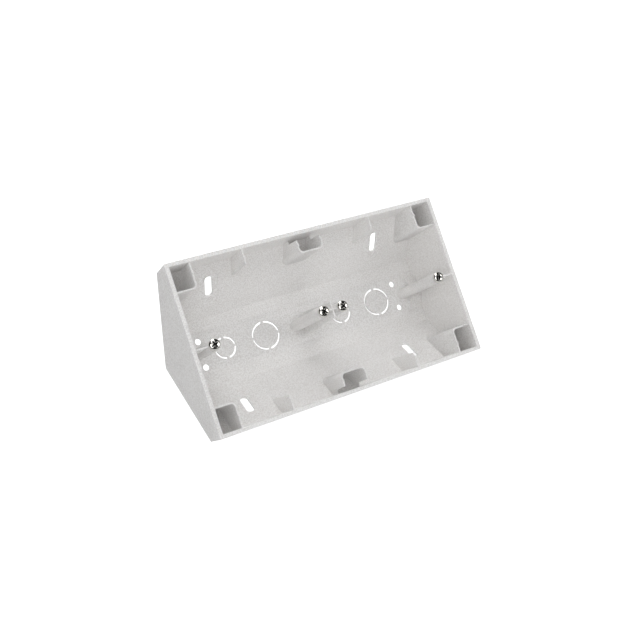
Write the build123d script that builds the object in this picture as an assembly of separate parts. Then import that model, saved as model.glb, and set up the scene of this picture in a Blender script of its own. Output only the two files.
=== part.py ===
"""Surface corner box for two wiring devices: one moulding and its four device screws."""
from build123d import *

import os
from itertools import product
from math import sqrt

# All sizes are millimetres. The front frame has x along the box, y up its slanted front
# and z out of the front, with z = 0 on the rim and y = 0 midway between the two legs.

# Two devices side by side: each one's screws, how far apart the two middle screws stand,
# and the square space that each device's plate drops into
screw_pitch = 60.0
middle_pitch = 11.0
plate_space = 72.0

# Outside of the moulding
end_margin = 11.5
front_height = 88.0
lip_depth = 18.5
end_wall = 2.1
lip_wall = 2.1
leg_wall = 1.8
edge_round = 0.5
corner_round = 1.2
foot_round = 1.0

# Floor strip between the two legs, parallel to the front
strip_depth = 42.0
strip_wall = 1.4
strip_half = 9.6
ramp_width = 2.4
shoulder_rise = 0.65

# Thin walls inside, and the nibs on them that keep a plate in its space
thin_wall = 0.8
thin_drop = 1.1
thin_round = 2.6
nib_length = 2.0
nib_height = 1.0
sink = 0.9

# How far each thin wall reaches in past the plate's edge, to carry it
pocket_under = 6.6
tower_under = 3.9
rib_under = 2.0

# Corner pockets
pocket_width = 10.1

# Latch towers midway along the long sides
tower_width = 14.2
notch_depth = 12.5
notch_gap = 2.8
notch_gap_low = 2.0

# Side ribs, their place counted outwards from the middle of a device
rib_offset = 1.3
rib_rise = 0.85

# Screw posts
post_radius = 3.1
post_drop = 0.2
cross_half_top = 4.2
cross_half_foot = 6.1
gusset_reach = 6.2
gusset_half = 9.7
gusset_height = 4.9
gusset_edge = 1.2

# Device screws
head_radius = 3.0
head_height = 2.0
head_side = 0.7
head_crown = 1.6
head_shoulder = 2.65
shank_radius = 1.7
shank_length = 16.0
point_length = 2.5
bore_clearance = 0.05
bore_extra = 6.0
recess_depth = 1.3
recess_half = 1.9
recess_tip = 0.65
recess_blade = 0.75

# Knockouts, round holes and fixing slots
knockout_offset = 12.0
small_knockout_radius = 6.0
large_knockout_radius = 7.9
knockout_slot = 0.9
knockout_tab = 1.4
knockout_web = 0.8
knockout_margin = 0.8
hole_radius = 1.7
hole_inset = 4.7
hole_spacing = 14.15
slot_offset = 14.7
slot_width = 4.15
slot_length = 12.3
slot_from_corner = 46.8
seat_width = 10.0
seat_length = 21.6
seat_depth = 0.2

# How far a cutting solid runs past the face it opens
overshoot = 1.0

# Worked out from the sizes above
device_pitch = screw_pitch + middle_pitch
device_place = device_pitch / 2
inner_post = device_place - screw_pitch / 2
outer_post = device_place + screw_pitch / 2
post_places = (-outer_post, -inner_post, inner_post, outer_post)
half_length = outer_post + end_margin
half_front = front_height / 2
half_plate = plate_space / 2
inner_end = half_length - end_wall
inner_lip = half_front - lip_wall
edge_gap = inner_lip - half_plate
pocket_height = edge_gap + pocket_under
tower_reach = edge_gap + tower_under
rib_reach = edge_gap + rib_under
corner_depth = lip_depth + half_front
leg_length = half_front * sqrt(2)
footprint = leg_length + lip_depth / sqrt(2)
leg_reach = corner_depth - leg_wall * sqrt(2)

# Cylinders that reach down from the height they are placed at
hanging = (Align.CENTER, Align.CENTER, Align.MAX)

quarter_turn = 90


def along(points, low, high):
    """Prism along x from low to high, with its outline in (y, z)."""
    face = make_face(Polyline(*points, close=True))
    return Pos(low, 0, 0) * extrude(Plane.YZ * face, high - low)


def block(x_range, y_range, z_range):
    """Box between two values on each axis."""
    sizes = [high - low for low, high in (x_range, y_range, z_range)]
    middle = [(high + low) / 2 for low, high in (x_range, y_range, z_range)]
    return Pos(*middle) * Box(*sizes)


def cavity(grow, top):
    """Space in front of the legs and strip, each wall moved out by grow."""
    lip = inner_lip + grow
    leg = leg_reach + grow * sqrt(2)
    shoulder = strip_depth - shoulder_rise + grow
    side = [
        (lip, top),
        (lip, lip - leg),
        (leg - shoulder, -shoulder),
        (strip_half + ramp_width, -shoulder),
        (strip_half, -strip_depth - grow),
    ]
    mirrored = [(-y, z) for y, z in reversed(side)]
    return along(side + mirrored, -inner_end - grow, inner_end + grow)


def outside():
    """Full outer form: five-sided section, with rounded long edges and ends."""
    points = [
        (half_front, 0),
        (half_front, -lip_depth),
        (0, -corner_depth),
        (-half_front, -lip_depth),
        (-half_front, 0),
    ]
    solid = along(points, -half_length, half_length)
    long_edges = solid.edges().filter_by(Axis.X).sort_by(Axis.Z)
    solid = fillet(long_edges[0], corner_round)
    long_edges = solid.edges().filter_by(Axis.X).sort_by(Axis.Z)
    bends = [edge for edge in long_edges if abs(edge.center().Y) > half_front - edge_round]
    solid = fillet([edge for edge in bends if edge.center().Z < -edge_round], foot_round)
    ends = solid.faces().filter_by(Axis.X)
    rims = [edge for face in ends for edge in face.edges() if edge.center().Z < -edge_round]
    return fillet(rims, edge_round)


def ring_wall(width, height, wall):
    """Outline of a thin wall with rounded corners, centred on the origin."""
    hollow = RectangleRounded(width - 2 * wall, height - 2 * wall, thin_round - wall)
    return RectangleRounded(width, height, thin_round) - hollow


def pocket(side, up):
    """Thin wall that closes one front corner; its far half runs out of the box."""
    width = 2 * (pocket_width + thin_wall + end_wall)
    height = 2 * (pocket_height + thin_wall + lip_wall)
    place = Pos(side * half_length, up * half_front, -thin_drop - corner_depth)
    return place * extrude(ring_wall(width, height, thin_wall), corner_depth)


def tower(up):
    """Thin U-shaped wall against a long side, cut clear of the lip near the rim."""
    height = 2 * (tower_reach + lip_wall)
    place = Pos(0, up * half_front, -thin_drop - corner_depth)
    wall = place * extrude(ring_wall(tower_width, height, thin_wall), corner_depth)
    notch = [
        (inner_lip - notch_gap, overshoot),
        (inner_lip - notch_gap_low, -notch_depth),
        (half_front, -notch_depth),
        (half_front, overshoot),
    ]
    notch = [(up * y, z) for y, z in notch]
    return wall - along(notch, -tower_width, tower_width)


def side_rib(side, up):
    """Thin plate from a long side down to the leg, its top stepped for a device plate."""
    points = [
        (inner_lip - rib_reach, -thin_drop),
        (half_plate, -thin_drop),
        (half_plate, rib_rise - thin_drop),
        (half_front, rib_rise - thin_drop),
        (half_front, -corner_depth),
        (inner_lip - rib_reach, -corner_depth),
    ]
    points = [(up * y, z) for y, z in points]
    middle = side * (device_place + rib_offset)
    return along(points, middle - thin_wall / 2, middle + thin_wall / 2)


def nib(x, y, turn):
    """Small ramp on a thin wall, its steep side at (x, y), turned from +y by an angle."""
    points = [
        (0, -thin_drop - nib_height),
        (0, -thin_drop + nib_height),
        (nib_length, -thin_drop),
        (nib_length, -thin_drop - nib_height),
    ]
    return Pos(x, y, 0) * Rot(0, 0, turn) * along(points, -thin_wall / 2, thin_wall / 2)


def nibs(side, up):
    """The nibs in one quarter of the box: two on the pocket and one on the tower."""
    away = quarter_turn * (1 - up)
    pocket_arm = inner_end - pocket_width - thin_wall / 2
    pocket_base = inner_lip - pocket_height - thin_wall / 2
    tower_arm = (tower_width - thin_wall) / 2
    return [
        nib(side * pocket_arm, up * half_plate, away),
        nib(side * tower_arm, up * half_plate, away),
        nib(side * (device_place + half_plate), up * pocket_base, -quarter_turn * side),
    ]


def post(place):
    """Round screw post, its top a little below the rim."""
    height = strip_depth + sink - post_drop
    return Pos(place, 0, -post_drop) * Cylinder(post_radius, height, align=hanging)


def post_bore(place):
    """Blind hole that the screw cuts its thread in."""
    depth = shank_length + bore_extra
    radius = shank_radius + bore_clearance
    return Pos(place, 0, overshoot - post_drop) * Cylinder(radius, depth + overshoot, align=hanging)


def web(start, end):
    """Thin wall on the centre line between two values of x."""
    half = thin_wall / 2
    return block(sorted((start, end)), (-half, half), (-strip_depth - sink, -post_drop))


def cross_plate():
    """Upright plate between the two middle posts, wider at its foot."""
    foot = -strip_depth - sink
    points = [
        (-cross_half_foot, foot),
        (-cross_half_top, -post_drop),
        (cross_half_top, -post_drop),
        (cross_half_foot, foot),
    ]
    return along(points, -thin_wall / 2, thin_wall / 2)


def gusset(side):
    """Low roof-shaped block between an end post's foot and the end wall."""
    ridge = post_radius
    foot = -strip_depth - sink
    points = [
        (-gusset_half, foot),
        (-gusset_half, gusset_edge - strip_depth),
        (-ridge, gusset_height - strip_depth),
        (ridge, gusset_height - strip_depth),
        (gusset_half, gusset_edge - strip_depth),
        (gusset_half, foot),
    ]
    ends = sorted((side * (inner_end - gusset_reach), side * (inner_end + sink)))
    return along(points, *ends)


def knockout_cut(place, radius):
    """Broken ring through the floor strip, its outer side and its tabs thinned from behind."""
    front = overshoot - strip_depth
    back = -strip_depth - strip_wall - overshoot
    middle = (front + back) / 2
    ring = Cylinder(radius, front - back) - Cylinder(radius - knockout_slot, front - back)
    reach = 2 * (radius + knockout_margin)
    tabs = Box(reach, knockout_tab, reach) + Box(knockout_tab, reach, reach)
    thin_from = -strip_depth - knockout_web
    behind = Cylinder(radius + knockout_margin, thin_from - back)
    behind -= Cylinder(radius - knockout_slot, thin_from - back)
    return Pos(place, 0, middle) * (ring - tabs) + Pos(place, 0, (thin_from + back) / 2) * behind


def obround(width, total, depth):
    """Slot-shaped solid along y, centred on the origin."""
    return extrude(Rot(0, 0, 90) * SlotOverall(total, width), depth / 2, both=True)


def fixing_slot(place):
    """Slot through the base leg, with a shallow seat for the screw's head."""
    through = obround(slot_width, slot_length, 2 * (leg_wall + overshoot))
    seat_middle = leg_wall - seat_depth / 2
    seat = Pos(0, 0, seat_middle) * obround(seat_width, seat_length, seat_depth)
    return Pos(place, -slot_from_corner, 0) * (through + seat)


def turned_up(solid):
    """The same form on the other leg: z and y change places."""
    return mirror(solid, Plane(origin=(0, 0, 0), z_dir=(0, 1, 1)))


def moulding():
    """The box itself, in one piece."""
    inside = [tower(up) for up in (-1, 1)]
    for side, up in product((-1, 1), repeat=2):
        inside += [pocket(side, up), side_rib(side, up)] + nibs(side, up)
    inside += [post(place) for place in post_places]
    inside += [gusset(side) for side in (-1, 1)]
    inside += [cross_plate(), web(-inner_post, inner_post)]
    inside += [web(side * outer_post, side * (inner_end + sink)) for side in (-1, 1)]
    fitted = Part() + [piece & cavity(sink, 0) for piece in inside]

    channel = block((-inner_end, inner_end), (-half_front, half_front),
                    (-corner_depth - overshoot, -strip_depth - strip_wall))
    box = outside() - cavity(0, overshoot) - channel + fitted
    box -= [post_bore(place) for place in post_places]
    for side in (-1, 1):
        middle = side * device_place
        box -= knockout_cut(middle - knockout_offset, small_knockout_radius)
        box -= knockout_cut(middle + knockout_offset, large_knockout_radius)
        for up in (-1, 1):
            place = Pos(side * (outer_post - hole_inset), up * hole_spacing / 2, -strip_depth)
            box -= place * Cylinder(hole_radius, 2 * (strip_wall + overshoot))

    box = in_corner * box
    for side in (-1, 1):
        slot = fixing_slot(side * (device_place + slot_offset))
        box -= slot
        box -= turned_up(slot)
    return box


def screw():
    """Pan-head device screw with a cross recess, its head's underside at z = 0."""
    low = -shank_length
    outline = Polyline(
        (0, head_height),
        (head_crown, head_height),
        (head_shoulder, (head_height + head_side) / 2),
        (head_radius, head_side),
        (head_radius, 0),
        (shank_radius, 0),
        (shank_radius, low + point_length),
        (0, low),
        close=True,
    )
    solid = revolve(Plane.XZ * make_face(outline), Axis.Z)
    blade = Polyline(
        (-recess_half, head_height + overshoot),
        (recess_half, head_height + overshoot),
        (recess_half, head_height),
        (recess_tip, head_height - recess_depth),
        (-recess_tip, head_height - recess_depth),
        (-recess_half, head_height),
        close=True,
    )
    flat = extrude(Plane.XZ * make_face(blade), recess_blade / 2, both=True)
    return solid - flat - Rot(0, 0, 90) * flat


# The slanted front leans back at 45 degrees. The corner line that meets both the wall
# and the worktop lies on x, with the base leg on z = 0 and the back leg on y = 0.
slant = 1 / sqrt(2)
in_corner = Location(
    Plane(origin=(0, -corner_depth * slant, corner_depth * slant), x_dir=(1, 0, 0), z_dir=(0, -1, 1))
)
to_middle = Pos(0, footprint / 2, 0)

nodes = {"corner_box": to_middle * moulding()}
screw_names = ("screw_left_outer", "screw_left_inner", "screw_right_inner", "screw_right_outer")
for name, place in zip(screw_names, post_places):
    nodes[name] = to_middle * in_corner * Pos(place, 0, -post_drop) * screw()

os.makedirs("parts", exist_ok=True)
for name, solid in nodes.items():
    export_step(solid, f"parts/{name}.step")
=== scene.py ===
"""Surface corner box for two wiring devices: its finishes, its screws, the light and the camera."""

from math import cos, pi, radians, sin, sqrt

import bpy
from mathutils import Euler, Matrix, Vector


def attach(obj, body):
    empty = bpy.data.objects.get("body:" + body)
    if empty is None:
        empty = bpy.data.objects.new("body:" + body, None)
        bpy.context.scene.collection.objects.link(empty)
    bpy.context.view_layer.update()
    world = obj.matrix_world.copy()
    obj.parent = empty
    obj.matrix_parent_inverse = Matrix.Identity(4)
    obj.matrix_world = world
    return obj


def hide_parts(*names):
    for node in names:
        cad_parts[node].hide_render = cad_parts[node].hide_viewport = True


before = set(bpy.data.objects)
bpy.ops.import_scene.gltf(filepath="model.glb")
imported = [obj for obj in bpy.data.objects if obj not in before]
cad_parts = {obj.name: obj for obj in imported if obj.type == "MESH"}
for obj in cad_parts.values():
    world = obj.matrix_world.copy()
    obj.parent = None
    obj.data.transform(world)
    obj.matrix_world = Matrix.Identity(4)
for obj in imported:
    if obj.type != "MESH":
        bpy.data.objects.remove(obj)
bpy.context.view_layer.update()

# All sizes are millimetres here and are turned to metres where Blender takes them. The front
# frame has x along the box, y up its slanted front and z out of the front, from the rim.
METRES = 0.001

# Box sizes that place the screws
front_height = 88.0
lip_depth = 18.5
post_drop = 0.2
device_pitch = 71.0
screw_pitch = 60.0

# Device screws
head_radius = 3.0
head_height = 2.0
head_side = 0.7
head_fullness = 2.4
head_edge = 0.08
recess_half = 1.95
recess_depth = 1.5
recess_blade = 0.95
recess_narrowing = 0.35
recess_draft = 0.12
# How far below the head's top the painted shade in the cross recess begins
painted_shade_depth = 0.25
shank_radius = 1.68
shank_length = 15.9
thread_pitch = 0.6
thread_depth = 0.28
point_length = 1.2
point_share = 0.35
head_rings = 48
head_segments = 160
rings_per_turn = 6

# How far each screw was left turned, in degrees
screw_turns = {
    "screw_left_outer": 20.0,
    "screw_left_inner": 50.0,
    "screw_right_inner": 35.0,
    "screw_right_outer": 70.0,
}

# Camera
camera_place = (-182.30, -303.47, 300.34)
camera_turn = (52.870, -2.088, -28.925)
camera_lens = 47.62
sensor_width = 36.0

# Lights, in metres and watts, and how bright the room is above the table and the table itself
light_distance = 1.2
softbox_size = 0.7
room_glow = 0.02
table_glow = 0.66
key_watts = 3.2
behind_watts = 6.7
above_watts = 1.0
left_watts = 2.2
right_watts = 3.2
low_watts = 1.0
top_watts = 2.4

# Floor
floor_half = 1500.0
floor_gap = 0.05


def linear(hex_colour):
    """sRGB hex colour as linear red, green, blue and alpha."""
    channels = [int(hex_colour[i:i + 2], 16) / 255 for i in (0, 2, 4)]
    return [c / 12.92 if c <= 0.04045 else ((c + 0.055) / 1.055) ** 2.4 for c in channels] + [1.0]


def add_node(tree, kind, links=None, values=None, **settings):
    """Adds a shader node with its settings, its socket values and what is linked to its sockets."""
    node = tree.nodes.new(kind)
    for name, value in settings.items():
        setattr(node, name, value)
    for socket, value in (values or {}).items():
        node.inputs[socket].default_value = value
    for socket, source in (links or {}).items():
        tree.links.new(source, node.inputs[socket])
    return node


def new_material(name):
    """Empty material and its node tree."""
    material = bpy.data.materials.new(name)
    material.use_nodes = True
    material.node_tree.nodes.clear()
    return material, material.node_tree


def finish_material(tree, surface):
    """Links a shader to the material's output."""
    add_node(tree, "ShaderNodeOutputMaterial", links={"Surface": surface.outputs[0]})


def per_metre(size):
    """Texture scale whose features are size millimetres across."""
    return 1 / (size * METRES)


def moulded_abs():
    """Light grey moulded ABS with a spark-eroded grain.

    The grain scatters the light, so faces look matt and finely mottled, and only edges
    catch a soft highlight. Light passes a little way into the plastic, which softens its
    shadows. The real grain is about 0.1 mm, too fine to show, so it is drawn
    as coarse as it needs to show.
    """
    grain_size = 0.65
    grain_depth = 0.08
    cloud_size = 9.0
    edge_softness = 0.15
    light_reach = 2.5
    material, tree = new_material("moulded_abs")
    place = add_node(tree, "ShaderNodeTexCoord").outputs["Object"]
    grain = add_node(tree, "ShaderNodeTexNoise", links={"Vector": place},
                     values={"Scale": per_metre(grain_size), "Detail": 1.0, "Roughness": 0.6})
    speck = add_node(tree, "ShaderNodeMapRange", links={"Value": grain.outputs[0]},
                     values={"From Min": 0.36, "From Max": 0.64})
    cloud = add_node(tree, "ShaderNodeTexNoise", links={"Vector": place},
                     values={"Scale": per_metre(cloud_size), "Detail": 3.0, "Roughness": 0.5})
    mottle = add_node(tree, "ShaderNodeMix", data_type="RGBA",
                      links={"Factor": speck.outputs[0]},
                      values={"A": linear("e9e7e5"), "B": linear("fffefd")})
    tone = add_node(tree, "ShaderNodeMix", data_type="RGBA", blend_type="MULTIPLY",
                    links={"A": mottle.outputs["Result"], "B": cloud.outputs[0]},
                    values={"Factor": 0.03})
    soft_edge = add_node(tree, "ShaderNodeBevel", samples=6,
                         values={"Radius": edge_softness * METRES})
    relief = add_node(tree, "ShaderNodeBump",
                      links={"Height": grain.outputs[0], "Normal": soft_edge.outputs[0]},
                      values={"Strength": 0.5, "Distance": grain_depth * METRES})
    plastic = add_node(tree, "ShaderNodeBsdfPrincipled",
                       links={"Base Color": tone.outputs["Result"], "Normal": relief.outputs[0]},
                       values={"Roughness": 0.5, "IOR": 1.53, "Subsurface Weight": 0.7,
                               "Subsurface Scale": light_reach * METRES,
                               "Subsurface Radius": (1.0, 1.0, 1.0)})
    finish_material(tree, plastic)
    return material


def nickel_plated_steel():
    """Bright nickel plate on steel: a clean mirror that is black where nothing bright faces it.

    The cross recess is painted a dark grey just below its rim, as painted shade.
    """
    brush_size = 0.35
    material, tree = new_material("nickel_plated_steel")
    place = add_node(tree, "ShaderNodeTexCoord").outputs["Object"]
    wear = add_node(tree, "ShaderNodeTexNoise", links={"Vector": place},
                    values={"Scale": per_metre(brush_size), "Detail": 2.0})
    tint = add_node(tree, "ShaderNodeMix", data_type="RGBA", links={"Factor": wear.outputs[0]},
                    values={"A": linear("dcdad4"), "B": linear("eeece8")})
    polish = add_node(tree, "ShaderNodeMapRange", links={"Value": wear.outputs[0]},
                      values={"To Min": 0.03, "To Max": 0.10})
    spot = add_node(tree, "ShaderNodeSeparateXYZ", links={"Vector": place})
    off_axis = add_node(tree, "ShaderNodeCombineXYZ",
                        links={"X": spot.outputs["X"], "Y": spot.outputs["Y"]})
    radius = add_node(tree, "ShaderNodeVectorMath", operation="LENGTH",
                      links={"Vector": off_axis.outputs[0]})
    # Painted shade: inside the cross recess and below its rim the colour turns near-black
    inner = add_node(tree, "ShaderNodeMapRange", links={"Value": radius.outputs["Value"]},
                     values={"From Min": (recess_half - recess_draft) * METRES,
                             "From Max": recess_half * METRES,
                             "To Min": 1.0, "To Max": 0.0})
    sunken = add_node(tree, "ShaderNodeMapRange", links={"Value": spot.outputs["Z"]},
                      values={"From Min": (head_height - 2 * painted_shade_depth) * METRES,
                              "From Max": (head_height - painted_shade_depth) * METRES,
                              "To Min": 1.0, "To Max": 0.0})
    painted_recess_shade = add_node(tree, "ShaderNodeMath", operation="MULTIPLY",
                    links={0: inner.outputs[0], 1: sunken.outputs[0]})
    # Mixes the near-black painted shade into the recess
    colour = add_node(tree, "ShaderNodeMix", data_type="RGBA",
                      links={"Factor": painted_recess_shade.outputs[0], "A": tint.outputs["Result"]},
                      values={"B": linear("1c1b1a")})
    metal = add_node(tree, "ShaderNodeBsdfPrincipled",
                     links={"Base Color": colour.outputs["Result"], "Roughness": polish.outputs[0]},
                     values={"Metallic": 1.0})
    finish_material(tree, metal)
    return material


def white_floor():
    """Plain white table, lit evenly from within."""
    material, tree = new_material("white_floor")
    paper = add_node(tree, "ShaderNodeBsdfPrincipled",
                     values={"Base Color": linear("f4f4f4"), "Roughness": 0.8,
                             "Emission Color": linear("ffffff"), "Emission Strength": 0.75})
    finish_material(tree, paper)
    return material


def recess_at(x, y):
    """Depth of the cross recess at a point of the head."""
    across, out = sorted((abs(x), abs(y)))
    floor = recess_depth * max(0.0, 1 - (out / recess_half) ** 2)
    wing = recess_blade / 2 * (1 - recess_narrowing * out / recess_half)
    wall = min(1.0, max(0.0, (wing - across) / recess_draft + 0.5))
    return floor * wall * wall * (3 - 2 * wall)


def head_ring(angle):
    """One ring of the domed head, at an angle from its axis to its rim."""
    radius = head_radius * sin(angle)
    fall = (1 - (radius / head_radius) ** head_fullness) ** (1 / head_fullness)
    height = head_side + (head_height - head_side) * fall
    ring = []
    for i in range(head_segments):
        turn = 2 * pi * i / head_segments
        x, y = radius * cos(turn), radius * sin(turn)
        ring.append((x, y, height - recess_at(x, y)))
    return ring


def thread_ring(depth):
    """One ring of the threaded shank, at a depth below the head."""
    taper = min(1.0, (shank_length - depth) / point_length)
    ring = []
    for i in range(head_segments):
        turn = 2 * pi * i / head_segments
        phase = (depth / thread_pitch - i / head_segments) % 1
        crest = 1 - abs(2 * phase - 1)
        radius = shank_radius - thread_depth * (1 - crest)
        radius *= point_share + (1 - point_share) * taper
        ring.append((radius * cos(turn), radius * sin(turn), -depth))
    return ring


def plain_ring(radius, height):
    """One plain round ring."""
    turns = [2 * pi * i / head_segments for i in range(head_segments)]
    return [(radius * cos(turn), radius * sin(turn), height) for turn in turns]


def screw_mesh():
    """Pan-head machine screw with a cross recess and a thread, its head's underside at z = 0."""
    rings = [head_ring(pi / 2 * (k + 1) / head_rings) for k in range(head_rings)]
    rings.append(plain_ring(head_radius, head_edge))
    rings.append(plain_ring(head_radius - head_edge, 0))
    count = round(shank_length / thread_pitch * rings_per_turn)
    rings += [thread_ring(shank_length * k / count) for k in range(count + 1)]
    centre = (0, 0, head_height - recess_depth)
    points = [centre] + [point for ring in rings for point in ring] + [(0, 0, -shank_length)]
    faces = []
    for i in range(head_segments):
        after = (i + 1) % head_segments
        faces.append((0, 1 + i, 1 + after))
        for k in range(len(rings) - 1):
            low, high = 1 + k * head_segments, 1 + (k + 1) * head_segments
            faces.append((low + i, high + i, high + after, low + after))
        last = 1 + (len(rings) - 1) * head_segments
        faces.append((len(points) - 1, last + after, last + i))
    mesh = bpy.data.meshes.new("device_screw")
    mesh.from_pydata([[c * METRES for c in point] for point in points], [], faces)
    mesh.validate()
    mesh.shade_smooth()
    return mesh


def front_frame():
    """Matrix from the front frame, in metres, to the part's own frame."""
    slant = sqrt(0.5)
    corner_depth = lip_depth + front_height / 2
    footprint = front_height * slant + lip_depth * slant
    origin = Vector((0, footprint / 2 - corner_depth * slant, corner_depth * slant)) * METRES
    turn = Matrix(((1, 0, 0), (0, slant, -slant), (0, slant, slant)))
    return Matrix.Translation(origin) @ turn.to_4x4()


def place_screws(finish):
    """The four device screws on their posts, each in place of its solid."""
    mesh = screw_mesh()
    mesh.materials.append(finish)
    ways = [(side, way) for side in (-1, 1) for way in (-1, 1)]
    for (name, turn), (side, way) in zip(screw_turns.items(), ways):
        along = side * device_pitch / 2 + way * screw_pitch / 2
        piece = bpy.data.objects.new(f"shown_{name}", mesh)
        bpy.context.scene.collection.objects.link(piece)
        seat = Matrix.Translation(Vector((along, 0, -post_drop)) * METRES)
        piece.matrix_world = front_frame() @ seat @ Matrix.Rotation(radians(turn), 4, "Z")
        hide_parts(name)
        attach(piece, "root")


def dress_box(finish):
    """Gives the moulding its plastic."""
    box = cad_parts["corner_box"]
    box.data.materials.clear()
    box.data.materials.append(finish)


def lay_floor(finish):
    """A wide flat floor just under the base leg, which takes no part in lighting the box."""
    half, level = floor_half * METRES, -floor_gap * METRES
    mesh = bpy.data.meshes.new("floor")
    corners = [(-half, -half, level), (half, -half, level), (half, half, level), (-half, half, level)]
    mesh.from_pydata(corners, [], [(0, 1, 2, 3)])
    mesh.materials.append(finish)
    floor = bpy.data.objects.new("floor", mesh)
    bpy.context.scene.collection.objects.link(floor)
    floor.visible_diffuse = False
    floor.visible_glossy = False
    floor.visible_shadow = False


def softbox(name, way, watts, mirrored=True):
    """Square area light that shines on the box from one way, mirrored in bright metal or not."""
    light = bpy.data.lights.new(name, "AREA")
    light.size = softbox_size
    light.energy = watts
    lamp = bpy.data.objects.new(name, light)
    bpy.context.scene.collection.objects.link(lamp)
    direction = Vector(way).normalized()
    lamp.location = direction * light_distance
    lamp.rotation_euler = direction.to_track_quat("Z", "Y").to_euler()
    lamp.visible_glossy = mirrored


def light_studio():
    """Seven soft lights around the box, over a glowing table in a dark room."""
    world = bpy.data.worlds.new("studio_room")
    world.use_nodes = True
    tree = world.node_tree
    tree.nodes.clear()
    way = add_node(tree, "ShaderNodeTexCoord").outputs["Generated"]
    height = add_node(tree, "ShaderNodeSeparateXYZ", links={"Vector": way}).outputs["Z"]
    glow = add_node(tree, "ShaderNodeMapRange", links={"Value": height},
                    values={"From Min": -0.05, "From Max": 0.05,
                            "To Min": table_glow, "To Max": room_glow})
    room = add_node(tree, "ShaderNodeBackground", links={"Strength": glow.outputs[0]},
                    values={"Color": linear("ffffff")})
    add_node(tree, "ShaderNodeOutputWorld", links={"Surface": room.outputs[0]})
    bpy.context.scene.world = world
    softbox("key", (-0.4, -0.66, 0.64), key_watts)
    softbox("behind", (0.0, 0.6, 0.8), behind_watts)
    softbox("above", (0.0, -0.4, 0.92), above_watts)
    softbox("left", (-0.9, -0.3, 0.3), left_watts, mirrored=False)
    softbox("right", (0.7, -0.5, 0.5), right_watts)
    softbox("low", (0.0, -1.0, 0.0), low_watts, mirrored=False)
    softbox("top", (0.0, 0.0, 1.0), top_watts)


def set_camera():
    """Camera at the photograph's viewing angle."""
    camera = bpy.data.cameras.new("camera")
    camera.lens = camera_lens
    camera.sensor_width = sensor_width
    camera.clip_start = 0.01
    eye = bpy.data.objects.new("camera", camera)
    bpy.context.scene.collection.objects.link(eye)
    eye.location = Vector(camera_place) * METRES
    eye.rotation_euler = Euler([radians(angle) for angle in camera_turn])
    bpy.context.scene.camera = eye


bpy.context.scene.view_settings.view_transform = "Standard"
dress_box(moulded_abs())
place_screws(nickel_plated_steel())
lay_floor(white_floor())
light_studio()
set_camera()
